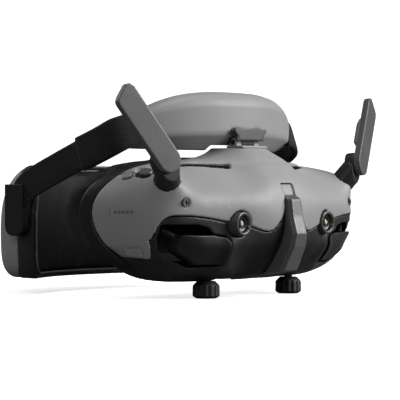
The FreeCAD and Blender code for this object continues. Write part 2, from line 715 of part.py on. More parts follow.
def make_lens_cells():
    """Focusing cell, its eyepiece lens and the display at the front of the tube."""
    x, z = dim("eye_offset"), dim("eye_height")
    shell = rod("cell_outer", "dims.cell_radius", 20, (x, -50.0, z), ALONG_Y)
    bore = rod("cell_bore", "dims.lens_radius + 0.05", 22, (x, -51.0, z), ALONG_Y)
    tongue = box("cell_tongue", 1.5, 9.2, 8.0, (x + 3.05, -54.2, 16.6))
    both_sides("lens_cell", fuse("lens_cell", cut("lens_cell", shell, bore), tongue))
    bulges = []
    for name, y in (("lens_rear", -37.4 + dim("lens_curve")), ("lens_fore", -30.6 - dim("lens_curve"))):
        ball = bind(doc.addObject("Part::Sphere", name), Radius="dims.lens_curve")
        bulges.append(place(ball, (x, y, z), ALONG_Y))
    disc = rod("lens_disc", "dims.lens_radius", 6.8, (x, -37.4, z), ALONG_Y)
    biconvex = common("lens_faces", bulges[0], bulges[1])
    both_sides("eyepiece_lens", common("eyepiece_lens", disc, biconvex))
    panel = box("display_panel", 27, 1.6, 20, (x - 13.5, -60.1, z - 10))
    back = box("display_back", 24, 1.2, 17, (x - 12, -61.3, z - 8.5))
    both_sides("display", fuse("display", panel, back))


def make_knobs():
    """Fluted focus knob, turned and then notched all round, and its drive roller."""
    x, y = dim("eye_offset"), dim("knob_axis_back")
    body = doc.addObject("PartDesign::Body", "focus_knob")
    sketch = attached_sketch(body, "XZ_Plane", "knob_profile")
    foot, wide, neck = dim("knob_foot_radius"), dim("knob_radius"), dim("knob_neck_height")
    shaft, top = dim("knob_shaft_radius"), dim("knob_shaft_top")
    points = [(0, 0), (foot, 0), (wide, 1.2), (wide, neck - 2.3), (4.4, neck), (shaft, neck),
              (shaft, top), (0, top)]
    polygon(sketch, points)
    turned = body.newObject("PartDesign::Revolution", "knob_turned")
    turned.Profile = sketch
    turned.ReferenceAxis = (sketch, ["V_Axis"])
    turned.Angle = 360
    doc.recompute()
    notch = attached_sketch(body, "XY_Plane", "knob_notch")
    notch.addGeometry(Part.Circle(V(wide + 0.6, 0, 0), V(0, 0, 1), 1.1), False)
    flute = body.newObject("PartDesign::Pocket", "knob_flute")
    flute.Profile = notch
    flute.Length = 7.0
    flute.Reversed = True
    doc.recompute()
    ring = body.newObject("PartDesign::PolarPattern", "knob_flutes")
    ring.Originals = [flute]
    ring.Axis = (sketch, ["V_Axis"])
    ring.Angle = 360
    ring.Occurrences = 14
    body.Tip = ring
    body.Placement = FreeCAD.Placement(V(x, y, 0), UPRIGHT)
    doc.recompute()
    both_sides("focus_knob", body)
    roller = rod("roller_outer", "dims.pinion_radius", 3.4, (x, y, 15.8))
    hole = rod("roller_bore", "dims.knob_shaft_radius", 5, (x, y, 15))
    both_sides("focus_roller", cut("focus_roller", roller, hole))


# ---------------------------------------------------------------- goggles: buttons
def make_buttons():
    """Five-way stick (gimbal ring, rocking stem, pressed cap) and the back button."""
    ring = Part.makeCylinder(5.2, 1.6, V(0, 0, -3.1)).cut(Part.makeCylinder(4.1, 4, V(0, 0, -4)))
    node("stick_gimbal", freeform("stick_gimbal", placed(ring, STICK)))
    stem = Part.makeCylinder(1.4, 4.0, V(0, 0, -6.4)).fuse(Part.makeCylinder(3.8, 1.0, V(0, 0, -2.9)))
    node("stick_stem", freeform("stick_stem", placed(stem.removeSplitter(), STICK)))
    cap = Part.makeCone(3.6, 3.0, 2.2, V(0, 0, -1.3)).cut(Part.makeSphere(9, V(0, 0, 9.3)))
    node("stick_cap", freeform("stick_cap", placed(cap, STICK)))
    key = Part.makeCylinder(2.4, 2.6, V(0, 0, -2.4))
    rim = [e for e in key.Edges if e.CenterOfMass.z > 0.1]
    node("back_button", freeform("back_button", placed(key.makeFillet(0.5, rim), BACK_KEY)))


# ---------------------------------------------------------------- headband
def make_bracket():
    """Hinge bracket on the goggles, its pin, and the tab of the forehead pad."""
    y, z = dim("hinge_back"), dim("hinge_height")
    foot = box("bracket_foot", 20, 10.5, 1.2, (-10, y - 7, 74.0))
    cheeks = [box(f"bracket_cheek_{i}", 4.0, 4.8, 1.6, (x, y - 2.4, 74.4))
              for i, x in enumerate((-9, 5))]
    rounds = [rod(f"bracket_round_{i}", 2.4, 4.0, (x, y, z), ALONG_X)
              for i, x in enumerate((-9, 5))]
    hole = rod("bracket_hole", 1.2, 30, (-15, y, z), ALONG_X)
    groove = rod("bracket_groove", 2.7, 9.9, (-4.95, y, z), ALONG_X)
    node("hinge_bracket", cut("bracket", fuse("bracket", foot, *cheeks, *rounds), hole, groove))
    node("hinge_pin", rod("hinge_pin", 1.2, 19, (-9.5, y, z), ALONG_X))
    knuckle = rod("tab_knuckle", 2.4, 9.6, (-4.8, y, z), ALONG_X)
    rise = box("tab_rise", 9.6, 2.6, 4.0, (-4.8, y - 1.3, z + 0.4))
    plate = box("tab_plate", 24, 5.0, 3.2, (-12, y - 1.9, z + 3.4))
    bore = rod("tab_bore", "1.2 + dims.slide_clearance", 20, (-10, y, z), ALONG_X)
    cover = box("tab_cover", 21, 1.7, 5.8, (-10.5, y - 4.3, z + 0.7))
    bridge = box("tab_bridge", 21, 4.0, 2.0, (-10.5, y - 4.0, z + 4.0))
    tab = fuse("hinge_tab", knuckle, rise, plate, cover, bridge)
    doc.recompute()
    node("hinge_tab", cut("hinge_tab", tab, bore))


def pad_band(profile, half_angle):
    """A closed (radius, height) profile carried round the forehead pad's upright axis, lower
    towards the temples."""
    centre = dim("pad_front") + dim("pad_radius")
    wires = []
    for step in range(-8, 9):
        angle = math.radians(half_angle * step / 8)
        share = 1 - dim("pad_droop") * (abs(step) / 8) ** 3.3
        points = [V(r * math.sin(angle), centre - r * math.cos(angle), 74 + (z - 74) * share)
                  for r, z in profile]
        wires.append(Part.makePolygon(points + points[:1]))
    return Part.makeLoft(wires, True, False)


def make_forehead_pad():
    """Shell of the forehead pad, bevelled above and below, with its cushion behind."""
    r = dim("pad_radius")
    profile = [(r - 0.5, 80.2), (r, 82.0), (r, 95.5), (r - 1.2, 98.4), (r - 3.6, 100.8),
               (r - 7.5, 102.2), (r - 9.5, 102.4), (r - 9.5, 100.4), (r - 7.2, 100.2),
               (r - 4.4, 98.9), (r - 3.0, 97.2), (r - 2.2, 95.0), (r - 2.2, 82.4),
               (r - 2.7, 81.2), (r - 8.4, 75.0), (r - 10.0, 74.6), (r - 10.0, 72.6),
               (r - 7.6, 72.8)]
    ends = rounded_prism(-62, 62, 72, 103, 6.0, -60, 0)
    hump_room = slab(-20, 20, -60, -36, 70, 75.4)
    hinge_room = slab(-10.6, 10.6, -60, -44.6, 70, 79.8)
    doc.recompute()
    tab = parts["hinge_tab"].Shape
    shell = pad_band(profile, dim("pad_half_angle")).common(ends)
    node("pad_shell", freeform("pad_shell", largest(shell.cut([tab, hump_room, hinge_room]))))
    foam = [(r - 2.3, 81.0), (r - 2.3, 96.0), (r - 3.9, 98.1), (r - 9.6, 100.2), (r - 13.5, 99.2),
            (r - 15.5, 96.0), (r - 15.5, 78.0), (r - 13.0, 74.0), (r - 10.2, 73.0)]
    pad = pad_band(foam, dim("pad_half_angle") - 1.4).common(ends).cut(shell)
    tab_room = slab(-12.8, 12.8, -60, -44.4, 70, 84.2)
    node("pad_foam", freeform("pad_foam", largest(pad.cut([tab_room, hump_room]))))


def strap_placement(along):
    """A frame on the headband's centre line, along it by a distance from its fixed point."""
    slope = FreeCAD.Rotation(V(1, 0, 0), -dim("strap_slope"))
    start = V(dim("strap_plane"), -5.0, 70.8)
    return FreeCAD.Placement(start + slope.multVec(V(0, along, 0)), slope)


def strap_block(name, thick, long, wide, along):
    """A block lying along the headband, centred on it."""
    here = strap_placement(along)
    corner = here.Rotation.multVec(V(-thick / 2, 0, -wide / 2))
    return box(name, thick, long, wide, here.Base + corner, here.Rotation)


def make_headband():
    """Band on the rear pack that telescopes in a sleeve on the forehead pad."""
    band = strap_block("band_blank", dim("strap_thickness"), 69, dim("strap_width"), -19)
    both_sides("band", band)
    outer = strap_block("sleeve_outer", 4.4, 29.5, 17.2, -28)
    inner = strap_block("sleeve_inner", 2.36, 40, 15.36, -26.6)
    lug = box("sleeve_lug", 13.5, 5.0, 9.0, (57.5, -27.4, 76.4))
    lug = cut("sleeve_lug", lug, parts["pad_shell"], parts["pad_foam"])
    both_sides("band_sleeve", cut("band_sleeve", fuse("band_sleeve", outer, lug), inner))


# ---------------------------------------------------------------- rear pack
PACK_STATIONS = [(0.0, 7.0), (1.2, 4.2), (4.5, 1.8), (10.0, 0.4), (17.0, 0.0), (32.0, 0.2),
                 (42.0, 1.8), (49.5, 5.0), (55.0, 9.4), (58.0, 14.0)]


def pack_solid(inset=0.0):
    """The rear pack's D-shaped block, rounded at the top and bottom."""
    wires = []
    low, high = dim("pack_bottom"), dim("pack_top")
    squeeze = (high - low - 2 * inset) / 58.0
    for rise, taper in PACK_STATIONS:
        height = low + inset + rise * squeeze
        half = dim("pack_half_width") - taper - inset
        deep = dim("pack_back") - dim("pack_centre") - taper - inset
        points = []
        for step in range(-20, 21):
            x, y = superellipse(half, deep, dim("pack_fullness"), step * 4.5)
            points.append((x, dim("pack_centre") + y, height))
        chord = Part.LineSegment(V(*points[-1]), V(*points[0])).toShape()
        wires.append(Part.Wire([spline(points), chord]))
    return Part.makeLoft(wires, True, False)


def beyond(at_side, at_middle, half_width, reach=90.0):
    """Everything behind a plan curve that bulges backwards at the middle."""
    points = []
    for step in range(-12, 13):
        x = reach * step / 12
        bulge = max(0.0, 1 - (abs(x) / half_width) ** 2.2)
        flat = math.sqrt(bulge * bulge + 0.0004) - 0.02
        points.append((x, at_side + (at_middle - at_side) * flat, -20))
    curve = spline(points)
    corners = [V(reach, points[-1][1], -20), V(reach, 150, -20), V(-reach, 150, -20),
               V(-reach, points[0][1], -20)]
    lines = [Part.LineSegment(a, b).toShape() for a, b in zip(corners, corners[1:])]
    return Part.Face(Part.Wire([curve] + lines)).extrude(V(0, 0, 130))


def make_rear_pack():
    """Outer cover, inner frame, cushion, cells, board and button of the rear pack."""
    whole, hollow = pack_solid(), pack_solid(2.2)
    parting = beyond(43.0, 74.0, 70.0)
    inside = beyond(40.0, 58.5, 67.0)
    floor = beyond(42.4, 60.9, 67.0)
    led = [Part.makeCylinder(0.8, 12, V(14 + 4 * i, 76, 44), V(0, 1, 0)) for i in range(4)]
    button_bore = Part.makeCylinder(4.1, 20, V(0, 76, 44), V(0, 1, 0))
    cover = whole.cut(hollow).common(parting).cut(led + [button_bore])
    node("pack_cover", freeform("pack_cover", largest(cover)))
    lip = whole.cut(hollow).common(beyond(33.0, 55.0, 67.0))
    wall = hollow.common(inside).cut(floor)
    frame = lip.fuse(wall).cut(beyond(42.9, 73.9, 70.0))
    node("pack_frame", freeform("pack_frame", largest(frame)))
    soft = pack_solid(2.6).cut(beyond(39.8, 58.3, 67.0)).common(beyond(33.0, 53.0, 67.0))
    node("pack_cushion", freeform("pack_cushion", largest(soft)))
    length = dim("cell_length")
    cells = [rod(f"battery_cell_{i}", "dims.cell_diameter / 2", "dims.cell_length",
                 (-length / 2, 70.3, z), ALONG_X) for i, z in enumerate((20.5, 39.2))]
    node("battery_cells", group("battery_cells", *cells))
    node("battery_board", box("battery_board", 54, 11, 1.6, (-27, 63.4, 49.6)))
    key = rod("power_key_cap", 4.0, 5.4, (0, 80.4, 44), ALONG_Y)
    dish = rod("power_key_dish", 2.6, 1.0, (0, 85.4, 44), ALONG_Y)
    node("power_button", cut("power_button", key, dish))
    doc.recompute()
    hull = pack_solid()
    tab = Part.makeBox(14.4, 13.0, 26, V(60.0, 34.6, 30.0))
    feet = [e for e in tab.Edges if abs(e.tangentAt(0).x) > 0.9 and e.CenterOfMass.z < 31]
    tab = tab.makeFillet(5.0, feet).cut(hull)
    slot = parts["band_left"].Shape
    both_sides("strap_anchor", freeform("strap_anchor", largest(tab.cut(slot))))


# ---------------------------------------------------------------- build and write
def main():
    make_front_shells()
    make_rear_frame()
    make_face_foam()
    make_centre_fin()
    make_intake_paddle()
    make_vent_grille()
    make_cameras()
    make_screws()
    make_antennas()
    make_ports()
    make_electronics()
    make_guide_rods()
    make_carriages()
    make_lens_cells()
    make_knobs()
    make_buttons()
    make_bracket()
    make_forehead_pad()
    make_headband()
    make_rear_pack()
    doc.recompute()
    broken = [o.Name for o in doc.Objects if {"Invalid", "Error"} & set(o.State)]
    if broken:
        raise RuntimeError(f"features failed: {broken}")
    os.makedirs(OUT, exist_ok=True)
    for label, item in parts.items():
        shape = item.Shape
        if shape.isNull() or not shape.isValid():
            raise RuntimeError(f"{label} is not a sound solid")
        shape.exportStep(f"{OUT}/{label}.step")
    print(len(parts), "nodes written")


main()
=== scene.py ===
"""Looks of the first-person-view goggles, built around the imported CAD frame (metres, Z up)."""

import json
import math

import bmesh
import bpy
from mathutils import Matrix, Vector

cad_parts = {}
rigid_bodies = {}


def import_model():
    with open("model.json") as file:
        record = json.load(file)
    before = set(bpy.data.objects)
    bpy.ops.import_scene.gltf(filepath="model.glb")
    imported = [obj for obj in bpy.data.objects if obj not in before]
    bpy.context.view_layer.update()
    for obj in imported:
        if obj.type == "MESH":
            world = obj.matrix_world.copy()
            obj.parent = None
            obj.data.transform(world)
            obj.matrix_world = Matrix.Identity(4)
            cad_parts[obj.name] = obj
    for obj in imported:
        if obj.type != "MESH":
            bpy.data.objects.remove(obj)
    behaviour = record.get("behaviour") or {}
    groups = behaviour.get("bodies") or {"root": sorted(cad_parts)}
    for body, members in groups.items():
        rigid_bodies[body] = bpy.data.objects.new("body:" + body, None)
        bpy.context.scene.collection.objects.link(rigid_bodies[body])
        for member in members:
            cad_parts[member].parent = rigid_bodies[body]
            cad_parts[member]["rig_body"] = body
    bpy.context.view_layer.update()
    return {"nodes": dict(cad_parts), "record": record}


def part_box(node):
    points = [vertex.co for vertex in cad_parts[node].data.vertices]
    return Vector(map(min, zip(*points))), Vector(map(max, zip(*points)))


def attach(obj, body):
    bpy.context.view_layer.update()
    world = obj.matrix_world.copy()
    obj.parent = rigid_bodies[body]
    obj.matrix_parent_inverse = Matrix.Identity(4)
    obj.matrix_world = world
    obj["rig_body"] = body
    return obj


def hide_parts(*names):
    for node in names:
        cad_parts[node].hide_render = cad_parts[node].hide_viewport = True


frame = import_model()
NODES = frame["nodes"]
MM = 0.001


# ---------------------------------------------------------------- node helpers
class Graph:
    """Small helper around one material's node tree."""

    def __init__(self, name):
        self.material = bpy.data.materials.new(name)
        self.material.use_nodes = True
        self.tree = self.material.node_tree
        self.tree.nodes.clear()
        self.output = self.add("ShaderNodeOutputMaterial")
        self.shader = self.add("ShaderNodeBsdfPrincipled")
        self.join(self.shader.outputs[0], self.output.inputs[0])
        self.place = self.add("ShaderNodeTexCoord").outputs["Object"]

    def add(self, kind, **values):
        node = self.tree.nodes.new(kind)
        for key, value in values.items():
            if key in node.inputs:
                node.inputs[key].default_value = value
            else:
                setattr(node, key, value)
        return node

    def join(self, source, target):
        self.tree.links.new(source, target)
        return target

    def noise(self, scale, detail=3.0, roughness=0.55):
        node = self.add("ShaderNodeTexNoise", Scale=scale, Detail=detail, Roughness=roughness)
        self.join(self.place, node.inputs["Vector"])
        return node.outputs["Fac"]

    def cells(self, scale, feature="F1", output="Distance"):
        node = self.add("ShaderNodeTexVoronoi", Scale=scale, feature=feature)
        self.join(self.place, node.inputs["Vector"])
        return node.outputs[output]

    def wave(self, scale, direction, distortion=0.0):
        node = self.add("ShaderNodeTexWave", Scale=scale, Distortion=distortion)
        node.bands_direction = direction
        self.join(self.place, node.inputs["Vector"])
        return node.outputs["Fac"]

    def span(self, source, low, high, to_low, to_high):
        node = self.add("ShaderNodeMapRange")
        self.join(source, node.inputs[0])
        for index, value in enumerate((low, high, to_low, to_high), 1):
            node.inputs[index].default_value = value
        return node.outputs[0]

    def math(self, operation, first, second):
        node = self.add("ShaderNodeMath", operation=operation)
        for index, value in enumerate((first, second)):
            if isinstance(value, (int, float)):
                node.inputs[index].default_value = value
            else:
                self.join(value, node.inputs[index])
        return node.outputs[0]

    def mix(self, share, first, second):
        node = self.add("ShaderNodeMix", data_type="RGBA")
        self.join(share, node.inputs[0])
        for socket, value in ((node.inputs[6], first), (node.inputs[7], second)):
            if isinstance(value, tuple):
                socket.default_value = (*value, 1.0)
            else:
                self.join(value, socket)
        return node.outputs[2]

    def bump(self, height, distance, strength=1.0, normal=None):
        node = self.add("ShaderNodeBump", Distance=distance, Strength=strength)
        self.join(height, node.inputs["Height"])
        if normal is not None:
            self.join(normal, node.inputs["Normal"])
        return node.outputs[0]

    def finish(self, colour=None, rough=None, normal=None, **values):
        for key, value in values.items():
            self.shader.inputs[key].default_value = value
        for socket, source in (("Base Color", colour), ("Roughness", rough), ("Normal", normal)):
            if source is not None:
                self.join(source, self.shader.inputs[socket])
        return self.material


def shade(colour, factor):
    return tuple(min(1.0, c * factor) for c in colour)


def moulded(name, colour, rough, grain=2600.0, depth=0.00002, edge_highlight=1.18, specular=0.4):
    """Spark-eroded moulded plastic: fine pitting, faint mottling, edges lightened as a painted
    highlight.
    """
    g = Graph(name)
    pits = g.noise(grain, 2.0)
    cloud = g.noise(38.0, 4.0)
    tint = g.mix(g.span(cloud, 0.35, 0.65, 0, 1), shade(colour, 0.96), shade(colour, 1.04))
    # Painted highlight: sharp edges, found by pointiness, are lightened as if catching the light.
    edge = g.add("ShaderNodeNewGeometry").outputs["Pointiness"]
    painted_edge_highlight = g.span(edge, 0.515, 0.56, 0, 1)
    tint = g.mix(painted_edge_highlight, tint, shade(colour, edge_highlight))
    gloss = g.span(g.noise(160.0, 5.0), 0.3, 0.7, rough - 0.05, rough + 0.05)
    bump = g.bump(pits, depth)
    return g.finish(tint, gloss, bump, **{"Specular IOR Level": specular})


def leatherette(name, colour, rough=0.62, scale=1500.0, depth=0.00006):
    """Soft skin over foam: pebbled cells with fine creases."""
    g = Graph(name)
    pebbles = g.span(g.cells(scale), 0.0, 0.6, 1.0, 0.0)
    creases = g.noise(240.0, 6.0, 0.7)
    height = g.math("ADD", g.math("MULTIPLY", pebbles, 0.6), g.math("MULTIPLY", creases, 0.5))
    # Painted shade: the crease noise that lowers the skin also darkens it, and lightens it where
    # raised.
    tint = g.mix(g.span(creases, 0.3, 0.7, 0, 1), shade(colour, 0.75), shade(colour, 1.35))
    gloss = g.span(pebbles, 0, 1, rough + 0.1, rough - 0.06)
    return g.finish(tint, gloss, g.bump(height, depth), **{"Specular IOR Level": 0.3})


def webbing(name, colour, across="Z", along="Y", pitch=0.0011):
    """Woven elastic: warp ribs crossed by finer weft threads."""
    g = Graph(name)
    warp = g.wave(0.314 / pitch, across)
    weft = g.wave(0.314 / (pitch * 0.6), along)
    fuzz = g.noise(5200.0, 2.0)
    height = g.math("ADD", g.math("MULTIPLY", warp, 0.7), g.math("MULTIPLY", weft, 0.5))
    height = g.math("ADD", height, g.math("MULTIPLY", fuzz, 0.35))
    # Painted shade: the tint follows the weave height, darker between threads and lighter on top.
    tint = g.mix(g.span(height, 0.3, 1.2, 0, 1), shade(colour, 0.6), shade(colour, 1.5))
    return g.finish(tint, None, g.bump(height, 0.00012), Roughness=0.86,
                    **{"Sheen Weight": 0.06, "Sheen Roughness": 0.5, "Specular IOR Level": 0.2})


def brushed(name, colour, rough=0.32, direction="X"):
    g = Graph(name)
    lines = g.wave(900.0, direction, 6.0)
    stain = g.noise(90.0, 4.0)
    tint = g.mix(g.span(stain, 0.3, 0.7, 0, 1), shade(colour, 0.8), shade(colour, 1.1))
    gloss = g.span(lines, 0, 1, rough - 0.08, rough + 0.1)
    return g.finish(tint, gloss, g.bump(lines, 0.00001), Metallic=1.0)


def circuit(name, mask_colour, pad_colour):
    g = Graph(name)
    tracks = g.add("ShaderNodeTexBrick", Scale=260.0)
    tracks.inputs["Mortar Size"].default_value = 0.035
    g.join(g.place, tracks.inputs["Vector"])
    speck = g.span(g.cells(420.0), 0.08, 0.12, 1, 0)
    tint = g.mix(tracks.outputs["Fac"], mask_colour, shade(mask_colour, 1.8))
    tint = g.mix(speck, tint, pad_colour)
    return g.finish(tint, None, g.bump(tracks.outputs["Fac"], 0.00003), Roughness=0.35)


def coated_glass(name, tint, rough=0.03, clear=0.35, painted_reflection=(0.15, 0.5, 0.3)):
    """Dark coated optic: a smoky body with a faint coloured reflection painted into its colour, and
    dust.
    """
    g = Graph(name)
    layer = g.add("ShaderNodeLayerWeight", Blend=0.35).outputs["Facing"]
    dust = g.span(g.noise(700.0, 6.0, 0.7), 0.45, 0.8, rough, rough + 0.12)
    # Painted reflection: the colour turns to the reflection tint towards grazing angles.
    body = g.mix(g.span(layer, 0.1, 0.8, 0, 1), tint, painted_reflection)
    return g.finish(body, dust, None, **{"Transmission Weight": clear, "IOR": 1.5,
                                         "Coat Weight": 0.8, "Coat Roughness": 0.02})


def iris(name):
    """Camera optics seen through the cover glass: dark green rings round a pale centre that is a
    painted glint.
    """
    g = Graph(name)
    parts = g.add("ShaderNodeSeparateXYZ")
    g.join(g.place, parts.inputs[0])
    flat = g.add("ShaderNodeCombineXYZ")
    g.join(parts.outputs["X"], flat.inputs["X"])
    g.join(parts.outputs["Z"], flat.inputs["Z"])
    reach = g.add("ShaderNodeVectorMath", operation="LENGTH")
    g.join(flat.outputs[0], reach.inputs[0])
    out = reach.outputs["Value"]
    # Painted highlight: the pale centre colour stands in for the glint on the lens.
    tint = g.mix(g.span(out, 0.0006, 0.0011, 0, 1), (0.42, 0.45, 0.34), (0.03, 0.05, 0.028))
    tint = g.mix(g.span(out, 0.0019, 0.0022, 0, 1), tint, (0.006, 0.012, 0.006))
    tint = g.mix(g.span(out, 0.0029, 0.0032, 0, 1), tint, (0.045, 0.055, 0.035))
    tint = g.mix(g.span(out, 0.0036, 0.0038, 0, 1), tint, (0.012, 0.016, 0.01))
    grime = g.span(g.noise(900.0, 4.0), 0.4, 0.8, 0.22, 0.34)
    return g.finish(tint, grime, None, **{"Coat Weight": 0.2, "Coat Roughness": 0.2,
                                          "Specular IOR Level": 0.25})


MAT = {
    "shell": moulded("shell_grey_plastic", (0.215, 0.215, 0.22), 0.52, specular=0.3),
    "dark": moulded("dark_plastic", (0.012, 0.012, 0.013), 0.42, edge_highlight=1.6, specular=0.25),
    "collar": moulded("collar_plastic", (0.01, 0.01, 0.011), 0.45, edge_highlight=1.6, specular=0.25),
    "tab": moulded("tab_plastic", (0.045, 0.045, 0.047), 0.5),
    "fin": moulded("fin_grey_plastic", (0.06, 0.06, 0.063), 0.38, edge_highlight=1.3),
    "blade": moulded("antenna_plastic", (0.034, 0.035, 0.037), 0.45, edge_highlight=1.25),
    "black": moulded("black_plastic", (0.006, 0.006, 0.0065), 0.45, edge_highlight=1.5, specular=0.25),
    "bezel": moulded("bezel_plastic", (0.05, 0.052, 0.046), 0.25, grain=900.0, depth=0.000006),
    "recess": moulded("recess_plastic", (0.004, 0.004, 0.004), 0.7),
    "anchor": leatherette("anchor_skin", (0.004, 0.004, 0.0045), 0.5, 2200.0, 0.00003),
    # Light grey cord: partly real piping, partly a painted highlight along the rear cushion's edge.
    "piping_highlight": webbing("piping_cord_highlight", (0.11, 0.11, 0.113), "X", "X", 0.0006),
    "thread": webbing("seam_thread", (0.03, 0.03, 0.033), "Y", "Z", 0.0004),
    "light": moulded("status_light", (0.3, 0.42, 0.3), 0.25, grain=600.0, depth=0.000004),
    "iris": iris("camera_iris"),
    "frame": moulded("pack_frame_plastic", (0.012, 0.012, 0.013), 0.45, specular=0.25),
    "key": moulded("key_plastic", (0.17, 0.17, 0.175), 0.4),
    "rubber": moulded("knob_rubber", (0.011, 0.011, 0.012), 0.6, grain=1500.0, depth=0.00004),
    "foam": leatherette("foam_skin", (0.005, 0.005, 0.0055)),
    "cushion": leatherette("cushion_skin", (0.009, 0.009, 0.0095)),
    "band": webbing("band_webbing", (0.008, 0.008, 0.009)),
    "mark": moulded("pressed_mark", (0.08, 0.08, 0.082), 0.6),
    "steel": brushed("plated_steel", (0.1, 0.1, 0.105)),
    "alloy": brushed("sink_alloy", (0.6, 0.6, 0.62), 0.4, "Z"),
    "circuit": circuit("circuit_board", (0.01, 0.06, 0.03), (0.5, 0.4, 0.2)),
    "optic": coated_glass("camera_optic", (0.004, 0.012, 0.008)),
    "eyeglass": coated_glass("eyepiece_optic", (0.6, 0.65, 0.7), clear=0.9, painted_reflection=(0.3, 0.35, 0.6)),
    "screen": moulded("screen_surface", (0.006, 0.006, 0.008), 0.12, grain=400.0, depth=0.000003),
    "wrap": moulded("cell_wrap", (0.02, 0.12, 0.25), 0.25, grain=300.0),
}

SLOT_MATERIAL = {
    "shell_grey": "shell", "shell_dark": "dark", "fin_grey": "fin", "trim_black": "black",
    "frame_grey": "frame", "key_grey": "key", "cover_glass": "optic", "lens_clear": "eyeglass",
    "screen": "screen", "steel": "steel", "circuit": "circuit", "sink_alloy": "alloy",
    "mechanism": "black", "knob_rubber": "rubber", "foam": "foam", "webbing": "band",
    "cell_wrap": "wrap",
}
NODE_SLOT = {row["node"]: row["material_slot"] for row in frame["record"]["subparts"]}


def paint(item, material):
    item.data.materials.clear()
    item.data.materials.append(material)


for name, item in NODES.items():
    paint(item, MAT[SLOT_MATERIAL[NODE_SLOT[name]]])
for side in ("left", "right"):
    paint(NODES["camera_bezel_" + side], MAT["bezel"])
    paint(NODES["antenna_base_" + side], MAT["collar"])
paint(NODES["hinge_tab"], MAT["tab"])


# ---------------------------------------------------------------- mesh helpers
def link(name, mesh, material):
    item = bpy.data.objects.new(name, mesh)
    bpy.context.scene.collection.objects.link(item)
    paint(item, material)
    return item


def smooth_shading(mesh):
    mesh.polygons.foreach_set("use_smooth", [True] * len(mesh.polygons))


def apply_modifiers(item):
    bpy.context.view_layer.update()
    graph = bpy.context.evaluated_depsgraph_get()
    mesh = bpy.data.meshes.new_from_object(item.evaluated_get(graph))
    item.modifiers.clear()
    item.data = mesh
    return item


def planned_copy(node, name, material=None):
    """A welded copy of a CAD node's mesh, free to be reshaped."""
    mesh = NODES[node].data.copy()
    work = bmesh.new()
    work.from_mesh(mesh)
    bmesh.ops.remove_doubles(work, verts=work.verts, dist=0.000002)
    work.to_mesh(mesh)
    work.free()
    return link(name, mesh, material or NODES[node].data.materials[0])


def remesh(item, voxel):
    change = item.modifiers.new("voxels", "REMESH")
    change.mode, change.voxel_size, change.use_smooth_shade = "VOXEL", voxel, True
    return change


def subtract(item, cutter):
    """Takes a cutter's volume out of item and removes the cutter."""
    change = item.modifiers.new("cut", "BOOLEAN")
    change.operation, change.solver, change.object = "DIFFERENCE", "EXACT", cutter
    apply_modifiers(item)
    bpy.data.objects.remove(cutter)


def merge(item, extra):
    """Adds a second closed mesh to item; the voxel remesh that follows makes them one."""
    work = bmesh.new()
    work.from_mesh(item.data)
    work.from_mesh(extra.data)
    work.to_mesh(item.data)
    work.free()
    bpy.data.objects.remove(extra)


def soften(node, voxel, rounds, cutters=(), material=None, extra=None):
    """Stands in for a moulded CAD node, its edges and corners rounded as a mould leaves them."""
    item = planned_copy(node, node + "_moulded", material)
    for cutter in cutters:
        subtract(item, cutter)
    if extra is not None:
        merge(item, extra)
    remesh(item, voxel * MM)
    relax = item.modifiers.new("relax", "SMOOTH")
    relax.factor, relax.iterations = 0.5, rounds
    apply_modifiers(item)
    smooth_shading(item.data)
    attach(item, NODES[node]["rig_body"])
    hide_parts(node)
    return item


def frame_at(point, normal, along=(0, 0, 1)):
    """A matrix at point whose Z is normal and whose Y leans towards along."""
    up = Vector(normal).normalized()
    right = Vector(along).cross(up).normalized()
    ahead = up.cross(right)
    return Matrix.Translation(point) @ Matrix((right, ahead, up)).transposed().to_4x4()


def prism(name, outline, low, high, matrix, material):
    """An outline in mm carried from low to high along the matrix's Z."""
    work = bmesh.new()
    verts = [work.verts.new((x * MM, y * MM, low * MM)) for x, y in outline]
    face = work.faces.new(verts)
    rise = bmesh.ops.extrude_face_region(work, geom=[face])
    moved = [v for v in rise["geom"] if isinstance(v, bmesh.types.BMVert)]
    bmesh.ops.translate(work, verts=moved, vec=(0, 0, (high - low) * MM))
    bmesh.ops.recalc_face_normals(work, faces=work.faces)
    work.transform(matrix)
    mesh = bpy.data.meshes.new(name)
    work.to_mesh(mesh)
    work.free()
    return link(name, mesh, material)


def rosette(radius, lobe, count, points=72):
    """A round outline with count lobes."""
    turn = 2 * math.pi / points
    return [((radius + lobe * math.cos(count * i * turn)) * math.cos(i * turn),
             (radius + lobe * math.cos(count * i * turn)) * math.sin(i * turn))
            for i in range(points)]


def oval(width, height, points=48):
    return [(width / 2 * math.cos(2 * math.pi * i / points),
             height / 2 * math.sin(2 * math.pi * i / points)) for i in range(points)]


def join(name, items):
    """Merges separate small meshes into one piece."""
    work = bmesh.new()
    for item in items:
        work.from_mesh(item.data)
    mesh = bpy.data.meshes.new(name)
    work.to_mesh(mesh)
    work.free()
    material = items[0].data.materials[0]
    for item in items:
        bpy.data.objects.remove(item)
    return link(name, mesh, material)


# ---------------------------------------------------------------- moulded shells
STICK_FRAME = frame_at(Vector((-72.5, -46.0, 62.2)) * MM, (-0.370, -0.135, 0.919))
KEY_FRAME = frame_at(Vector((-77.0, -38.0, 60.25)) * MM, (-0.591, -0.084, 0.802))

TAB_OUTLINE = [(-8.6, 78.2), (8.6, 78.2), (9.2, 79.4), (12.4, 82.0), (12.4, 83.8), (-12.4, 83.8),
               (-12.4, 82.0), (-9.2, 79.4)]
FACING_FRONT = Matrix(((1, 0, 0, 0), (0, 0, -1, 0), (0, 1, 0, 0), (0, 0, 0, 1)))
CROWN_FLOOR, CROWN_HALF_WIDTH = 50.6, 12.0

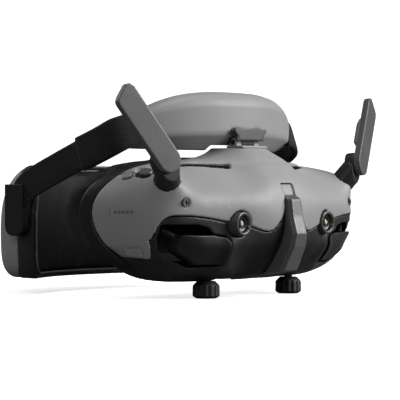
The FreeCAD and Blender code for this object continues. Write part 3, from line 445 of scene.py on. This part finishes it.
# Voxel in mm and rounds of smoothing for the pieces that need nothing else.
PLAIN = {"pad_shell": (0.6, 8), "pack_cover": (0.7, 8), "pack_frame": (0.7, 8),
         "rear_frame": (0.7, 6), "centre_fin": (0.4, 5), "hinge_bracket": (0.3, 5),
         "port_cover": (0.2, 3), "power_button": (0.2, 4), "back_button": (0.18, 4)}
PAIRS = {"antenna_base_": (0.32, 6), "camera_bezel_": (0.22, 5), "intake_paddle_": (0.35, 6),
         "focus_knob_": (0.25, 4)}


def soften_upper_shell():
    """Upper shell with the star-shaped stick recess and the back button's oval recess."""
    dish = prism("dish", rosette(6.4, 1.2, 5), -1.5, 6.0, STICK_FRAME, MAT["recess"])
    slot = prism("slot", oval(9.6, 6.2), -1.1, 6.0, KEY_FRAME, MAT["recess"])
    return soften("front_shell", 0.55, 6, [dish, slot])


def soften_lower_shell():
    """Lower shell, whose crown above the fin has the upper shell's colour."""
    item = soften("lower_shell", 0.55, 6)
    item.data.materials.append(MAT["shell"])
    for face in item.data.polygons:
        above = face.center.z > CROWN_FLOOR * MM
        face.material_index = int(above and abs(face.center.x) < CROWN_HALF_WIDTH * MM)


def soften_tab():
    """Pad's hinge tab with a flared cover plate in front."""
    plate = prism("tab_plate", TAB_OUTLINE, 50.9, 52.6, FACING_FRONT, MAT["tab"])
    soften("hinge_tab", 0.3, 6, extra=plate)


def pin_cap(side):
    """A disc that closes the blade over the front end of its hinge pin."""
    sign = 1 if side == "left" else -1
    outward = Vector((0.276 * sign, -0.957, 0.087))
    ends = [v.co for v in NODES["antenna_pins"].data.vertices if v.co.x * sign > 0]
    front = max(point.dot(outward) for point in ends)
    face = [point for point in ends if point.dot(outward) > front - 0.00005]
    middle = sum(face, Vector()) / len(face)
    near = [v.co.dot(outward) for v in NODES["antenna_blade_" + side].data.vertices
            if (v.co - middle).length < 0.009]
    flush = (max(near) - front) / MM
    low = min(0.03, flush - 0.5)
    return prism("cap_" + side, oval(8.6, 8.6), low, flush, frame_at(middle, outward), MAT["blade"])


def soften_stick():
    """Stick cap cut off level with the shell."""
    lid = prism("lid", oval(16, 16), 0.0, 6.0, STICK_FRAME, MAT["recess"])
    soften("stick_cap", 0.18, 4, [lid], MAT["fin"])


shell = soften_upper_shell()
soften_lower_shell()
soften_tab()
soften_stick()
for node, (voxel, rounds) in PLAIN.items():
    soften(node, voxel, rounds)
for side in ("left", "right"):
    soften("antenna_blade_" + side, 0.32, 6, extra=pin_cap(side))
    soften("strap_anchor_" + side, 0.4, 10, material=MAT["anchor"])
    for node, (voxel, rounds) in PAIRS.items():
        soften(node + side, voxel, rounds)


# ---------------------------------------------------------------- marks and lights on the shell
def on_shell(point, towards):
    """Where a ray from point meets the upper shell, with the surface's normal."""
    hit, place, normal, _ = shell.ray_cast(Vector(point) * MM, Vector(towards).normalized())
    if not hit:
        raise RuntimeError("the ray missed the shell")
    return place, normal


def touch_marks():
    """A line and five arrowheads pressed into the wearer's right side."""
    chevron = [(-0.7, 0.9), (0.7, 0.9), (1.0, 0.2), (0.0, -0.9), (-1.0, 0.2)]
    line = [(-0.18, -1.8), (0.18, -1.8), (0.18, 1.8), (-0.18, 1.8)]
    marks = []
    for index, back in enumerate((-34.3, -37.6, -39.8, -42.0, -44.2, -46.4)):
        place, normal = on_shell((-110, back, 42.3), (1, 0, 0))
        shape = chevron if index else line
        turned = frame_at(place, normal)
        marks.append(prism(f"mark_{index}", shape, -0.4, 0.06, turned, MAT["mark"]))
    item = join("touch_marks", marks)
    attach(item, "goggles")


touch_marks()


def status_lights():
    """Four small charge lights beside the power button."""
    marks = [prism(f"light_{i}", oval(1.4, 1.4, 20), -1.0, -0.15,
                   frame_at(Vector((14 + 4 * i, 85.2 - 0.002 * (14 + 4 * i) ** 2, 44)) * MM, (0, 1, 0)),
                   MAT["light"]) for i in range(4)]
    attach(join("charge_lights", marks), "rear_pack")


status_lights()


# ---------------------------------------------------------------- camera optics
def camera_optic(side):
    """Stepped cone and small domed lens behind the camera's cover glass."""
    low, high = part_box("camera_lens_" + side)
    front, radius = low.y, (high.x - low.x) / 2
    middle = (low + high) / 2
    steps = [(radius, 0.5), (0.0038, 1.0), (0.0036, 1.5), (0.003, 1.7), (0.0028, 2.1),
             (0.0022, 2.2), (0.0021, 1.7), (0.0016, 1.2), (0.0008, 0.92), (0.0, 0.85)]
    work = bmesh.new()
    rings = []
    count = 48
    for reach, depth in steps:
        ring = [work.verts.new((reach * math.cos(2 * math.pi * i / count), depth * MM - 0.0006,
                                reach * math.sin(2 * math.pi * i / count)))
                for i in range(count)]
        rings.append(ring)
    for first, second in zip(rings, rings[1:]):
        for i in range(count):
            j = (i + 1) % count
            work.faces.new((first[i], first[j], second[j], second[i]))
    bmesh.ops.remove_doubles(work, verts=work.verts, dist=1e-7)
    back = bmesh.ops.extrude_edge_only(work, edges=[e for e in work.edges if e.is_boundary])
    rim = [v for v in back["geom"] if isinstance(v, bmesh.types.BMVert)]
    bmesh.ops.translate(work, verts=rim, vec=(0, 0.0026, 0))
    bmesh.ops.contextual_create(work, geom=[e for e in work.edges if e.is_boundary])
    bmesh.ops.recalc_face_normals(work, faces=work.faces)
    mesh = bpy.data.meshes.new("camera_optic_" + side)
    work.to_mesh(mesh)
    work.free()
    smooth_shading(mesh)
    item = link("camera_optic_" + side, mesh, MAT["iris"])
    item.location = (middle.x, front + 0.0006, middle.z)
    item.modifiers.new("edges", "EDGE_SPLIT").split_angle = math.radians(35)
    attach(item, "goggles")
    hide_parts("camera_lens_" + side)


camera_optic("left")
camera_optic("right")


# ---------------------------------------------------------------- cushions
def cushion(node, voxel, held, pressure, reach, material="foam"):
    """A padded CAD solid blown up by a cloth simulation where it isn't glued down."""
    item = planned_copy(node, node + "_padded", MAT[material])
    remesh(item, voxel * MM)
    apply_modifiers(item)
    start = [v.co.copy() for v in item.data.vertices]
    group = item.vertex_groups.new(name="glued")
    glued = [v.index for v in item.data.vertices if held(v.co / MM)]
    group.add(glued, 1.0, "REPLACE")
    cloth = item.modifiers.new("cloth", "CLOTH")
    settings = cloth.settings
    settings.quality, settings.mass = 6, 0.15
    settings.tension_stiffness = settings.compression_stiffness = 8
    settings.shear_stiffness, settings.bending_stiffness = 4, 0.3
    settings.use_pressure, settings.uniform_pressure_force = True, pressure
    settings.vertex_group_mass = "glued"
    settings.effector_weights.gravity = 0
    cloth.point_cache.frame_start, cloth.point_cache.frame_end = 1, 20
    for moment in range(1, 21):
        bpy.context.scene.frame_set(moment)
    apply_modifiers(item)
    bpy.context.scene.frame_set(1)
    for vertex, before in zip(item.data.vertices, start):
        moved = vertex.co - before
        if moved.length > reach * MM:
            vertex.co = before + moved.normalized() * reach * MM
    relax = item.modifiers.new("relax", "SMOOTH")
    relax.factor, relax.iterations = 0.5, 2
    item.modifiers.new("finer", "SUBSURF").levels = 1
    item.modifiers["finer"].render_levels = 1
    apply_modifiers(item)
    smooth_shading(item.data)
    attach(item, NODES[node]["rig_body"])
    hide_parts(node)
    return item


def plan(across, at_side, at_middle, half_width):
    """Depth of the rear pack's curved inner face at a distance across."""
    bulge = max(0.0, 1 - (abs(across) / half_width) ** 2.2)
    flat = math.sqrt(bulge * bulge + 0.0004) - 0.02
    return at_side + (at_middle - at_side) * flat


bpy.context.scene.use_gravity = False
cushion("face_foam", 3.6, lambda p: p.y < -14.5 - 0.031 * (p.z - 42) ** 2, 4.0, 1.6)
cushion("pad_foam", 3.6, lambda p: math.hypot(p.x, p.y - 52) > 98.0, 4.0, 1.8)
cushion("pack_cushion", 4.0, lambda p: p.y > plan(p.x, 33, 53, 67) + 2.5, 4.0, 2.0, "cushion")


# ---------------------------------------------------------------- straps, cord and stitches
def strip(name, path, width, thick, material, corner=0.45):
    """A flat strap along a path in mm; width and thick may change from point to point."""
    work = bmesh.new()
    rings = []
    count = 20
    for index, point in enumerate(path):
        before, after = path[max(index - 1, 0)], path[min(index + 1, len(path) - 1)]
        along = (Vector(after) - Vector(before)).normalized()
        up = Vector((0, 0.34, 0.94))
        up = (up - along * up.dot(along)).normalized()
        out = along.cross(up)
        wide = width(index / (len(path) - 1)) / 2
        deep = thick(index / (len(path) - 1)) / 2
        ring = []
        for step in range(count):
            angle = 2 * math.pi * (step + 0.5) / count
            c, s = math.cos(angle), math.sin(angle)
            a = math.copysign(abs(c) ** corner, c) * wide
            b = math.copysign(abs(s) ** corner, s) * deep
            ring.append(work.verts.new((Vector(point) + up * a + out * b) * MM))
        rings.append(ring)
    for first, second in zip(rings, rings[1:]):
        for i in range(count):
            j = (i + 1) % count
            work.faces.new((first[i], first[j], second[j], second[i]))
    work.faces.new(rings[0][::-1])
    work.faces.new(rings[-1])
    bmesh.ops.recalc_face_normals(work, faces=work.faces)
    mesh = bpy.data.meshes.new(name)
    work.to_mesh(mesh)
    work.free()
    smooth_shading(mesh)
    return link(name, mesh, material)


def smooth_path(points, steps=8):
    """A Catmull-Rom curve through a few points."""
    ends = [Vector(p) for p in points]
    ends = [2 * ends[0] - ends[1]] + ends + [2 * ends[-1] - ends[-2]]
    path = []
    for a, b, c, d in zip(ends, ends[1:], ends[2:], ends[3:]):
        for i in range(steps):
            t = i / steps
            path.append(0.5 * (2 * b + (c - a) * t + (2 * a - 5 * b + 4 * c - d) * t * t
                               + (3 * b - a - 3 * c + d) * t ** 3))
    return path + [ends[-2]]


def stitches(name, path, across, out_by, sign, body):
    """A row of short thread stitches along a strap's edge."""
    items = []
    for index in range(1, len(path) - 1):
        along = (path[index + 1] - path[index - 1]).normalized()
        up = Vector((0, 0.34, 0.94))
        up = (up - along * up.dot(along)).normalized()
        out = along.cross(up)
        out = out if out.x * sign > 0 else -out
        for row in (-across, across):
            spot = (path[index] + up * row + out * out_by) * MM
            items.append(prism(f"{name}_{index}_{row}", oval(0.45, 1.5, 8), -0.25, 0.16,
                               frame_at(spot, out, along), MAT["thread"]))
    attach(join(name, items), body)


def even(path, pitch):
    """Points of a path at an even pitch in mm."""
    out, carried = [path[0]], 0.0
    for a, b in zip(path, path[1:]):
        length = (b - a).length
        while carried + length >= pitch:
            a = a + (b - a).normalized() * (pitch - carried)
            length, carried = (b - a).length, 0.0
            out.append(a)
        carried += length
    return out


def straps(side, sign):
    """Sleeve sewn to the forehead pad and the band that slides in it to the rear pack."""
    sleeve = smooth_path([(sign * 55, -30.5, 83.5), (sign * 62, -28.5, 82.6),
                          (sign * 68.6, -25.0, 80.0), (sign * 71.9, -19, 76.4),
                          (sign * 72.4, -11, 73.2), (sign * 72.4, -3.6, 70.6)])
    item = strip("sleeve_" + side, sleeve, lambda t: 15.0 + 2.4 * min(1.0, t * 2.2),
                 lambda t: 4.2, MAT["band"])
    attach(item, "headband")
    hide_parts("band_sleeve_" + side)
    stitches("sleeve_stitches_" + side, even(sleeve[20:], 2.4), 7.4, 2.1, sign, "headband")
    band = smooth_path([(sign * 72.3, -22, 77.0), (sign * 72.3, -5, 70.9),
                        (sign * 72.3, 12, 64.3), (sign * 72.3, 29, 57.2),
                        (sign * 72.2, 37, 52.0), (sign * 72.0, 41.5, 44.5)])
    item = strip("band_woven_" + side, band, lambda t: 15.0 - 3.0 * max(0.0, t - 0.75) * 4,
                 lambda t: 2.1, MAT["band"])
    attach(item, "rear_pack")
    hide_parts("band_" + side)
    stitches("band_stitches_" + side, even(band[10:34], 2.2), 6.4, 1.05, sign, "rear_pack")


straps("left", 1)
straps("right", -1)


def piping_highlight():
    """Thin cord sewn round the rear cushion; its light grey is partly a painted highlight along the
    cushion's edge.
    """
    edge = [(59.2, 10.8), (62.0, 11.9), (64.4, 14.9), (65.8, 19.8), (66.2, 26.2), (66.0, 39.7),
            (64.4, 48.7), (61.2, 55.5), (56.8, 60.5), (52.2, 63.2)]
    edge = smooth_path([Vector((x, 0, z)) for x, z in edge], 4)
    flat = [(p.x, p.z) for p in edge] + [(-p.x, p.z) for p in reversed(edge)]
    dense = []
    for a, b in zip(flat, flat[1:] + flat[:1]):
        pieces = max(1, int(math.hypot(b[0] - a[0], b[1] - a[1]) / 3))
        dense += [(a[0] + (b[0] - a[0]) * i / pieces, a[1] + (b[1] - a[1]) * i / pieces)
                  for i in range(pieces)]
    curve = bpy.data.curves.new("cushion_piping_highlight", "CURVE")
    curve.dimensions, curve.bevel_depth, curve.bevel_resolution = "3D", 0.00055, 3
    line = curve.splines.new("POLY")
    line.points.add(len(dense) - 1)
    for point, (x, z) in zip(line.points, dense):
        point.co = (x * MM, (plan(x, 33.0, 53.0, 67.0) - 0.3) * MM, z * MM, 1)
    line.use_cyclic_u = True
    item = bpy.data.objects.new("cushion_piping_highlight", curve)
    bpy.context.scene.collection.objects.link(item)
    paint(item, MAT["piping_highlight"])
    cord = bpy.data.meshes.new_from_object(item)
    bpy.data.objects.remove(item)
    smooth_shading(cord)
    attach(link("cushion_piping_highlight", cord, MAT["piping_highlight"]), "rear_pack")


piping_highlight()


# ---------------------------------------------------------------- stage, light and camera
def camera_only(g, seen, otherwise):
    """A value that is one thing to the camera and another to everything else."""
    ray = g.add("ShaderNodeLightPath").outputs["Is Camera Ray"]
    return g.span(ray, 0, 1, otherwise, seen)


def floor_and_backdrop():
    """A pale floor that curves up into a pale wall."""
    profile = [(-3.0, 0.0), (1.1, 0.0)]
    profile += [(1.1 + 0.6 * math.sin(a), 0.6 - 0.6 * math.cos(a))
                for a in (math.radians(10 * i) for i in range(1, 10))]
    profile += [(1.7, 3.0)]
    mesh = bpy.data.meshes.new("backdrop")
    verts = [(x, y, z) for x in (-4.0, 4.0) for y, z in profile]
    count = len(profile)
    faces = [(i, i + 1, count + i + 1, count + i) for i in range(count - 1)]
    mesh.from_pydata(verts, [], faces)
    g = Graph("backdrop_paper")
    paper = g.mix(g.noise(3.0), (0.8, 0.8, 0.8), (0.86, 0.86, 0.86))
    ray = g.add("ShaderNodeLightPath").outputs["Is Camera Ray"]
    tone = g.mix(ray, (0.16, 0.16, 0.16), paper)
    g.join(paper, g.shader.inputs["Emission Color"])
    g.join(camera_only(g, 0.88, 0.0), g.shader.inputs["Emission Strength"])
    item = link("backdrop", mesh, g.finish(tone, Roughness=0.9))
    item.rotation_euler.z = math.radians(-50)
    smooth_shading(mesh)


def lamp(name, place, target, size, power, colour=(1, 1, 1)):
    light = bpy.data.lights.new(name, "AREA")
    light.size, light.energy, light.color = size, power, colour
    item = bpy.data.objects.new(name, light)
    bpy.context.scene.collection.objects.link(item)
    item.location = place
    item.rotation_euler = (Vector(target) - Vector(place)).to_track_quat("-Z", "Y").to_euler()


def photo_camera():
    """The reference viewpoint: front right of the wearer, level with the goggles."""
    target = Vector((0.0, -0.019, 0.048))
    azimuth, rise, distance = math.radians(-50), math.radians(0.2), 1.025
    away = Vector((math.sin(azimuth) * math.cos(rise), -math.cos(azimuth) * math.cos(rise),
                   math.sin(rise)))
    camera = bpy.data.cameras.new("photo_camera")
    camera.lens, camera.sensor_width = 180, 36
    item = bpy.data.objects.new("photo_camera", camera)
    bpy.context.scene.collection.objects.link(item)
    item.location = target + away * distance
    item.rotation_euler = (-away).to_track_quat("-Z", "Y").to_euler()
    bpy.context.scene.camera = item


def sky():
    """Dim all-round light that looks white to the camera."""
    world = bpy.data.worlds.new("studio")
    world.use_nodes = True
    tree = world.node_tree
    background = tree.nodes["Background"]
    background.inputs[0].default_value = (1, 1, 1, 1)
    ray = tree.nodes.new("ShaderNodeLightPath")
    level = tree.nodes.new("ShaderNodeMapRange")
    tree.links.new(ray.outputs["Is Camera Ray"], level.inputs[0])
    level.inputs[3].default_value, level.inputs[4].default_value = 0.13, 1.0
    tree.links.new(level.outputs[0], background.inputs[1])
    bpy.context.scene.world = world


floor_and_backdrop()
lamp("key", (0.8, -1.0, 0.62), (0, 0, 0.05), 0.7, 30)
lamp("top", (0.1, -0.15, 1.25), (0, 0, 0.05), 0.6, 7)
lamp("side", (-1.2, -0.5, 0.7), (0, 0, 0.05), 0.5, 4)
lamp("rim", (-0.3, 1.1, 0.8), (0, 0, 0.05), 0.6, 5)
sky()
photo_camera()
bpy.context.scene.view_settings.view_transform = "Standard"
